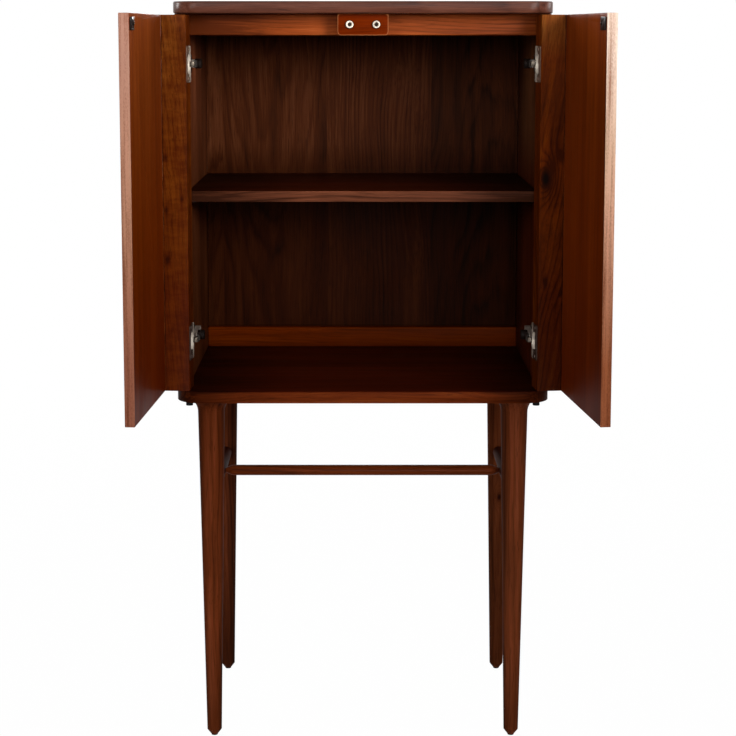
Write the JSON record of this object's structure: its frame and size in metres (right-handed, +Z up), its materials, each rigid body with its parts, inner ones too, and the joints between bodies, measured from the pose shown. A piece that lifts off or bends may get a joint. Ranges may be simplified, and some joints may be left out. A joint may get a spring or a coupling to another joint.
{
  "type": "bar cabinet",
  "caption": "Upright drinks cabinet on turned legs with a foot rail, swing doors with deep rounded posts on cup hinges, a shelf and magnetic door catches.",
  "frame": {"origin": "on the floor, midway across the carcase and midway between its back and the free ends of the open doors", "axes": "+Z up, +X to the viewer's right when the doors face the viewer, +Y to the cabinet's back"},
  "size_m": [0.7044, 0.6788, 1.209],
  "materials": {
    "walnut_case": "satin lacquer on dark walnut",
    "walnut_veneer": "satin lacquer on planked walnut veneer",
    "walnut_door": "satin lacquer on straight-grained walnut",
    "walnut_post": "satin lacquer on figured walnut",
    "walnut_leg": "satin lacquer on turned walnut",
    "stained_rail": "satin lacquer on lighter walnut",
    "hinge_nickel": "bright nickel plate",
    "magnet_nickel": "satin nickel plate",
    "screw_steel": "zinc plate",
    "black_plastic": "matt black"
  },
  "bodies": {
    "carcase": {"top_board": "walnut_case", "base_board": "walnut_case", "left_side_panel": "walnut_case", "right_side_panel": "walnut_case", "back_panel": "walnut_veneer", "shelf": "walnut_case", "top_front_rail": "stained_rail", "top_rear_rail": "stained_rail", "bottom_rear_rail": "stained_rail", "catch_block": "stained_rail", "left_magnet": "magnet_nickel", "right_magnet": "magnet_nickel", "left_magnet_screw": "screw_steel", "right_magnet_screw": "screw_steel", "shelf_pin_left_front": "hinge_nickel", "shelf_pin_left_rear": "hinge_nickel", "shelf_pin_right_front": "hinge_nickel", "shelf_pin_right_rear": "hinge_nickel", "front_left_leg": "walnut_leg", "front_right_leg": "walnut_leg", "rear_left_leg": "walnut_leg", "rear_right_leg": "walnut_leg", "front_left_glide": "black_plastic", "front_right_glide": "black_plastic", "rear_left_glide": "black_plastic", "rear_right_glide": "black_plastic", "left_stretcher": "walnut_leg", "right_stretcher": "walnut_leg", "cross_bar": "walnut_leg", "left_base_stud": "black_plastic", "right_base_stud": "black_plastic", "left_upper_hinge_plate": "hinge_nickel", "left_lower_hinge_plate": "hinge_nickel", "right_upper_hinge_plate": "hinge_nickel", "right_lower_hinge_plate": "hinge_nickel", "left_upper_hinge_arm": "hinge_nickel", "left_lower_hinge_arm": "hinge_nickel", "right_upper_hinge_arm": "hinge_nickel", "right_lower_hinge_arm": "hinge_nickel", "left_upper_hinge_cam": "black_plastic", "left_lower_hinge_cam": "black_plastic", "right_upper_hinge_cam": "black_plastic", "right_lower_hinge_cam": "black_plastic"},
    "left_door": {"left_door_panel": "walnut_door", "left_door_post": "walnut_post", "left_strike_plate": "hinge_nickel", "left_strike_screw": "screw_steel", "left_upper_hinge_cup": "hinge_nickel", "left_lower_hinge_cup": "hinge_nickel"},
    "right_door": {"right_door_panel": "walnut_door", "right_door_post": "walnut_post", "right_strike_plate": "hinge_nickel", "right_strike_screw": "screw_steel", "right_upper_hinge_cup": "hinge_nickel", "right_lower_hinge_cup": "hinge_nickel"},
    "left_links": {"left_upper_hinge_link": "hinge_nickel", "left_lower_hinge_link": "hinge_nickel"},
    "right_links": {"right_upper_hinge_link": "hinge_nickel", "right_lower_hinge_link": "hinge_nickel"}
  },
  "joints": [
    {"name": "left_door_hinge", "type": "hinge", "parent": "carcase", "child": "left_door", "pos_m": [-0.295, -0.04757, 0.89], "axis": [0, 0, -1], "range_deg": [-93.5, 4.5]},
    {"name": "right_door_hinge", "type": "hinge", "parent": "carcase", "child": "right_door", "pos_m": [0.295, -0.04757, 0.89], "axis": [0, 0, 1], "range_deg": [-96, 2]},
    {"name": "left_links_hinge", "type": "hinge", "parent": "carcase", "child": "left_links", "pos_m": [-0.268, -0.03407, 0.89], "axis": [0, 0, 1], "range_deg": [-94, 5]},
    {"name": "right_links_hinge", "type": "hinge", "parent": "carcase", "child": "right_links", "pos_m": [0.268, -0.03407, 0.89], "axis": [0, 0, -1], "range_deg": [-96.5, 2.5]}
  ],
  "couplings": [
    {"joint": "left_links_hinge", "follows": "left_door_hinge", "ratio": 1},
    {"joint": "right_links_hinge", "follows": "right_door_hinge", "ratio": 1}
  ]
}
